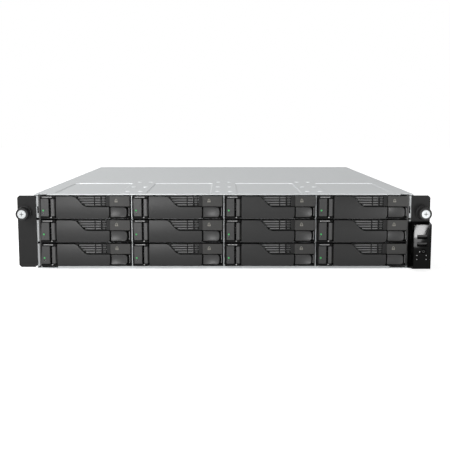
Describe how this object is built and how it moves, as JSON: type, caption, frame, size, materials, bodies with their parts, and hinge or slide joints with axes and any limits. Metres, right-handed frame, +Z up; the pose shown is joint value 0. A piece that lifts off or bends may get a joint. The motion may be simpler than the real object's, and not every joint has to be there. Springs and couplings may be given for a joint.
{
  "type": "rackmount nas server",
  "caption": "Low, wide rackmount storage server with a grid of hot-swap drive trays, cam levers, rack ears with captive screws, and plug-in supplies at the rear.",
  "frame": {"origin": "under the middle of the whole object, on the plane of the chassis floor", "axes": "+Z up, +Y towards the rear, +X to the right as seen from the front; the front faces -Y"},
  "size_m": [0.4826, 0.5544, 0.0886],
  "materials": {
    "bare_steel": "zinc-coated sheet, satin",
    "bezel_plastic": "fine-grained black moulding",
    "lever_plastic": "satin dark grey moulding",
    "catch_plastic": "satin dark grey moulding",
    "ear_paint": "black powder coat",
    "module_gloss": "polished black",
    "knob_plastic": "black moulding",
    "circuit_board": "green solder mask",
    "port_metal": "plated shell",
    "heatsink_metal": "extruded, plain",
    "fan_plastic": "black moulding",
    "supply_metal": "zinc-coated casing"
  },
  "bodies": {
    "chassis": {"chassis_base": "bare_steel", "front_cover": "bare_steel", "rear_panel": "bare_steel", "drive_cage": "bare_steel", "backplane": "circuit_board", "fan_wall": "fan_plastic", "motherboard": "circuit_board", "network_ports": "port_metal", "cpu_heatsink": "heatsink_metal", "psu_cage": "bare_steel", "rack_ear_left": "ear_paint", "rack_ear_right": "ear_paint", "control_panel": "module_gloss"},
    "tray_01": {"drive_tray_01": "bezel_plastic"},
    "lever_01": {"tray_lever_01": "lever_plastic"},
    "catch_01": {"release_button_01": "catch_plastic"},
    "tray_02": {"drive_tray_02": "bezel_plastic"},
    "lever_02": {"tray_lever_02": "lever_plastic"},
    "catch_02": {"release_button_02": "catch_plastic"},
    "tray_03": {"drive_tray_03": "bezel_plastic"},
    "lever_03": {"tray_lever_03": "lever_plastic"},
    "catch_03": {"release_button_03": "catch_plastic"},
    "tray_04": {"drive_tray_04": "bezel_plastic"},
    "lever_04": {"tray_lever_04": "lever_plastic"},
    "catch_04": {"release_button_04": "catch_plastic"},
    "tray_05": {"drive_tray_05": "bezel_plastic"},
    "lever_05": {"tray_lever_05": "lever_plastic"},
    "catch_05": {"release_button_05": "catch_plastic"},
    "tray_06": {"drive_tray_06": "bezel_plastic"},
    "lever_06": {"tray_lever_06": "lever_plastic"},
    "catch_06": {"release_button_06": "catch_plastic"},
    "tray_07": {"drive_tray_07": "bezel_plastic"},
    "lever_07": {"tray_lever_07": "lever_plastic"},
    "catch_07": {"release_button_07": "catch_plastic"},
    "tray_08": {"drive_tray_08": "bezel_plastic"},
    "lever_08": {"tray_lever_08": "lever_plastic"},
    "catch_08": {"release_button_08": "catch_plastic"},
    "tray_09": {"drive_tray_09": "bezel_plastic"},
    "lever_09": {"tray_lever_09": "lever_plastic"},
    "catch_09": {"release_button_09": "catch_plastic"},
    "tray_10": {"drive_tray_10": "bezel_plastic"},
    "lever_10": {"tray_lever_10": "lever_plastic"},
    "catch_10": {"release_button_10": "catch_plastic"},
    "tray_11": {"drive_tray_11": "bezel_plastic"},
    "lever_11": {"tray_lever_11": "lever_plastic"},
    "catch_11": {"release_button_11": "catch_plastic"},
    "tray_12": {"drive_tray_12": "bezel_plastic"},
    "lever_12": {"tray_lever_12": "lever_plastic"},
    "catch_12": {"release_button_12": "catch_plastic"},
    "rotor_1": {"fan_rotor_1": "fan_plastic"},
    "rotor_2": {"fan_rotor_2": "fan_plastic"},
    "rotor_3": {"fan_rotor_3": "fan_plastic"},
    "supply_1": {"psu_module_1": "supply_metal"},
    "supply_latch_1": {"psu_latch_1": "knob_plastic"},
    "supply_2": {"psu_module_2": "supply_metal"},
    "supply_latch_2": {"psu_latch_2": "knob_plastic"},
    "screw_left": {"thumbscrew_left": "knob_plastic"},
    "screw_right": {"thumbscrew_right": "knob_plastic"},
    "power_key": {"power_button": "module_gloss"},
    "lid": {"rear_lid": "bare_steel"}
  },
  "joints": [
    {"name": "tray_01_slide", "type": "slide", "parent": "chassis", "child": "tray_01", "axis": [0, -1, 0], "range_m": [0, 0.18]},
    {"name": "lever_01_swing", "type": "hinge", "parent": "tray_01", "child": "lever_01", "pos_m": [-0.199, -0.2621, 0.07305], "axis": [0, 0, -1], "range_deg": [0, 70]},
    {"name": "catch_01_press", "type": "slide", "parent": "tray_01", "child": "catch_01", "axis": [1, 0, 0], "range_m": [0, 0.002], "stiffness_N_per_m": 300, "springref_m": -0.001},
    {"name": "tray_02_slide", "type": "slide", "parent": "chassis", "child": "tray_02", "axis": [0, -1, 0], "range_m": [0, 0.18]},
    {"name": "lever_02_swing", "type": "hinge", "parent": "tray_02", "child": "lever_02", "pos_m": [-0.091, -0.2621, 0.07305], "axis": [0, 0, -1], "range_deg": [0, 70]},
    {"name": "catch_02_press", "type": "slide", "parent": "tray_02", "child": "catch_02", "axis": [1, 0, 0], "range_m": [0, 0.002], "stiffness_N_per_m": 300, "springref_m": -0.001},
    {"name": "tray_03_slide", "type": "slide", "parent": "chassis", "child": "tray_03", "axis": [0, -1, 0], "range_m": [0, 0.18]},
    {"name": "lever_03_swing", "type": "hinge", "parent": "tray_03", "child": "lever_03", "pos_m": [0.017, -0.2621, 0.07305], "axis": [0, 0, -1], "range_deg": [0, 70]},
    {"name": "catch_03_press", "type": "slide", "parent": "tray_03", "child": "catch_03", "axis": [1, 0, 0], "range_m": [0, 0.002], "stiffness_N_per_m": 300, "springref_m": -0.001},
    {"name": "tray_04_slide", "type": "slide", "parent": "chassis", "child": "tray_04", "axis": [0, -1, 0], "range_m": [0, 0.18]},
    {"name": "lever_04_swing", "type": "hinge", "parent": "tray_04", "child": "lever_04", "pos_m": [0.125, -0.2621, 0.07305], "axis": [0, 0, -1], "range_deg": [0, 70]},
    {"name": "catch_04_press", "type": "slide", "parent": "tray_04", "child": "catch_04", "axis": [1, 0, 0], "range_m": [0, 0.002], "stiffness_N_per_m": 300, "springref_m": -0.001},
    {"name": "tray_05_slide", "type": "slide", "parent": "chassis", "child": "tray_05", "axis": [0, -1, 0], "range_m": [0, 0.18]},
    {"name": "lever_05_swing", "type": "hinge", "parent": "tray_05", "child": "lever_05", "pos_m": [-0.199, -0.2621, 0.04505], "axis": [0, 0, -1], "range_deg": [0, 70]},
    {"name": "catch_05_press", "type": "slide", "parent": "tray_05", "child": "catch_05", "axis": [1, 0, 0], "range_m": [0, 0.002], "stiffness_N_per_m": 300, "springref_m": -0.001},
    {"name": "tray_06_slide", "type": "slide", "parent": "chassis", "child": "tray_06", "axis": [0, -1, 0], "range_m": [0, 0.18]},
    {"name": "lever_06_swing", "type": "hinge", "parent": "tray_06", "child": "lever_06", "pos_m": [-0.091, -0.2621, 0.04505], "axis": [0, 0, -1], "range_deg": [0, 70]},
    {"name": "catch_06_press", "type": "slide", "parent": "tray_06", "child": "catch_06", "axis": [1, 0, 0], "range_m": [0, 0.002], "stiffness_N_per_m": 300, "springref_m": -0.001},
    {"name": "tray_07_slide", "type": "slide", "parent": "chassis", "child": "tray_07", "axis": [0, -1, 0], "range_m": [0, 0.18]},
    {"name": "lever_07_swing", "type": "hinge", "parent": "tray_07", "child": "lever_07", "pos_m": [0.017, -0.2621, 0.04505], "axis": [0, 0, -1], "range_deg": [0, 70]},
    {"name": "catch_07_press", "type": "slide", "parent": "tray_07", "child": "catch_07", "axis": [1, 0, 0], "range_m": [0, 0.002], "stiffness_N_per_m": 300, "springref_m": -0.001},
    {"name": "tray_08_slide", "type": "slide", "parent": "chassis", "child": "tray_08", "axis": [0, -1, 0], "range_m": [0, 0.18]},
    {"name": "lever_08_swing", "type": "hinge", "parent": "tray_08", "child": "lever_08", "pos_m": [0.125, -0.2621, 0.04505], "axis": [0, 0, -1], "range_deg": [0, 70]},
    {"name": "catch_08_press", "type": "slide", "parent": "tray_08", "child": "catch_08", "axis": [1, 0, 0], "range_m": [0, 0.002], "stiffness_N_per_m": 300, "springref_m": -0.001},
    {"name": "tray_09_slide", "type": "slide", "parent": "chassis", "child": "tray_09", "axis": [0, -1, 0], "range_m": [0, 0.18]},
    {"name": "lever_09_swing", "type": "hinge", "parent": "tray_09", "child": "lever_09", "pos_m": [-0.199, -0.2621, 0.01705], "axis": [0, 0, -1], "range_deg": [0, 70]},
    {"name": "catch_09_press", "type": "slide", "parent": "tray_09", "child": "catch_09", "axis": [1, 0, 0], "range_m": [0, 0.002], "stiffness_N_per_m": 300, "springref_m": -0.001},
    {"name": "tray_10_slide", "type": "slide", "parent": "chassis", "child": "tray_10", "axis": [0, -1, 0], "range_m": [0, 0.18]},
    {"name": "lever_10_swing", "type": "hinge", "parent": "tray_10", "child": "lever_10", "pos_m": [-0.091, -0.2621, 0.01705], "axis": [0, 0, -1], "range_deg": [0, 70]},
    {"name": "catch_10_press", "type": "slide", "parent": "tray_10", "child": "catch_10", "axis": [1, 0, 0], "range_m": [0, 0.002], "stiffness_N_per_m": 300, "springref_m": -0.001},
    {"name": "tray_11_slide", "type": "slide", "parent": "chassis", "child": "tray_11", "axis": [0, -1, 0], "range_m": [0, 0.18]},
    {"name": "lever_11_swing", "type": "hinge", "parent": "tray_11", "child": "lever_11", "pos_m": [0.017, -0.2621, 0.01705], "axis": [0, 0, -1], "range_deg": [0, 70]},
    {"name": "catch_11_press", "type": "slide", "parent": "tray_11", "child": "catch_11", "axis": [1, 0, 0], "range_m": [0, 0.002], "stiffness_N_per_m": 300, "springref_m": -0.001},
    {"name": "tray_12_slide", "type": "slide", "parent": "chassis", "child": "tray_12", "axis": [0, -1, 0], "range_m": [0, 0.18]},
    {"name": "lever_12_swing", "type": "hinge", "parent": "tray_12", "child": "lever_12", "pos_m": [0.125, -0.2621, 0.01705], "axis": [0, 0, -1], "range_deg": [0, 70]},
    {"name": "catch_12_press", "type": "slide", "parent": "tray_12", "child": "catch_12", "axis": [1, 0, 0], "range_m": [0, 0.002], "stiffness_N_per_m": 300, "springref_m": -0.001},
    {"name": "rotor_1_spin", "type": "hinge", "parent": "chassis", "child": "rotor_1", "pos_m": [-0.14, -0.0578, 0.0443], "axis": [0, 1, 0], "continuous": true},
    {"name": "rotor_2_spin", "type": "hinge", "parent": "chassis", "child": "rotor_2", "pos_m": [0, -0.0578, 0.0443], "axis": [0, 1, 0], "continuous": true},
    {"name": "rotor_3_spin", "type": "hinge", "parent": "chassis", "child": "rotor_3", "pos_m": [0.14, -0.0578, 0.0443], "axis": [0, 1, 0], "continuous": true},
    {"name": "supply_1_slide", "type": "slide", "parent": "chassis", "child": "supply_1", "axis": [0, 1, 0], "range_m": [0, 0.2]},
    {"name": "supply_latch_1_squeeze", "type": "hinge", "parent": "supply_1", "child": "supply_latch_1", "pos_m": [0.185, 0.2544, 0.03415], "axis": [0, 0, -1], "range_deg": [0, 10], "stiffness_Nm_per_rad": 0.4, "springref_deg": -5.73},
    {"name": "supply_2_slide", "type": "slide", "parent": "chassis", "child": "supply_2", "axis": [0, 1, 0], "range_m": [0, 0.2]},
    {"name": "supply_latch_2_squeeze", "type": "hinge", "parent": "supply_2", "child": "supply_latch_2", "pos_m": [0.185, 0.2544, 0.07515], "axis": [0, 0, -1], "range_deg": [0, 10], "stiffness_Nm_per_rad": 0.4, "springref_deg": -5.73},
    {"name": "screw_left_turn", "type": "hinge", "parent": "chassis", "child": "screw_left", "pos_m": [-0.23255, -0.2688, 0.0667], "axis": [0, 1, 0], "continuous": true},
    {"name": "screw_right_turn", "type": "hinge", "parent": "chassis", "child": "screw_right", "pos_m": [0.23255, -0.2688, 0.0667], "axis": [0, 1, 0], "continuous": true},
    {"name": "power_key_press", "type": "slide", "parent": "chassis", "child": "power_key", "axis": [0, 1, 0], "range_m": [0, 0.0012], "stiffness_N_per_m": 800, "springref_m": -0.001},
    {"name": "lid_slide", "type": "slide", "parent": "chassis", "child": "lid", "axis": [0, 1, 0], "range_m": [0, 0.33]}
  ]
}
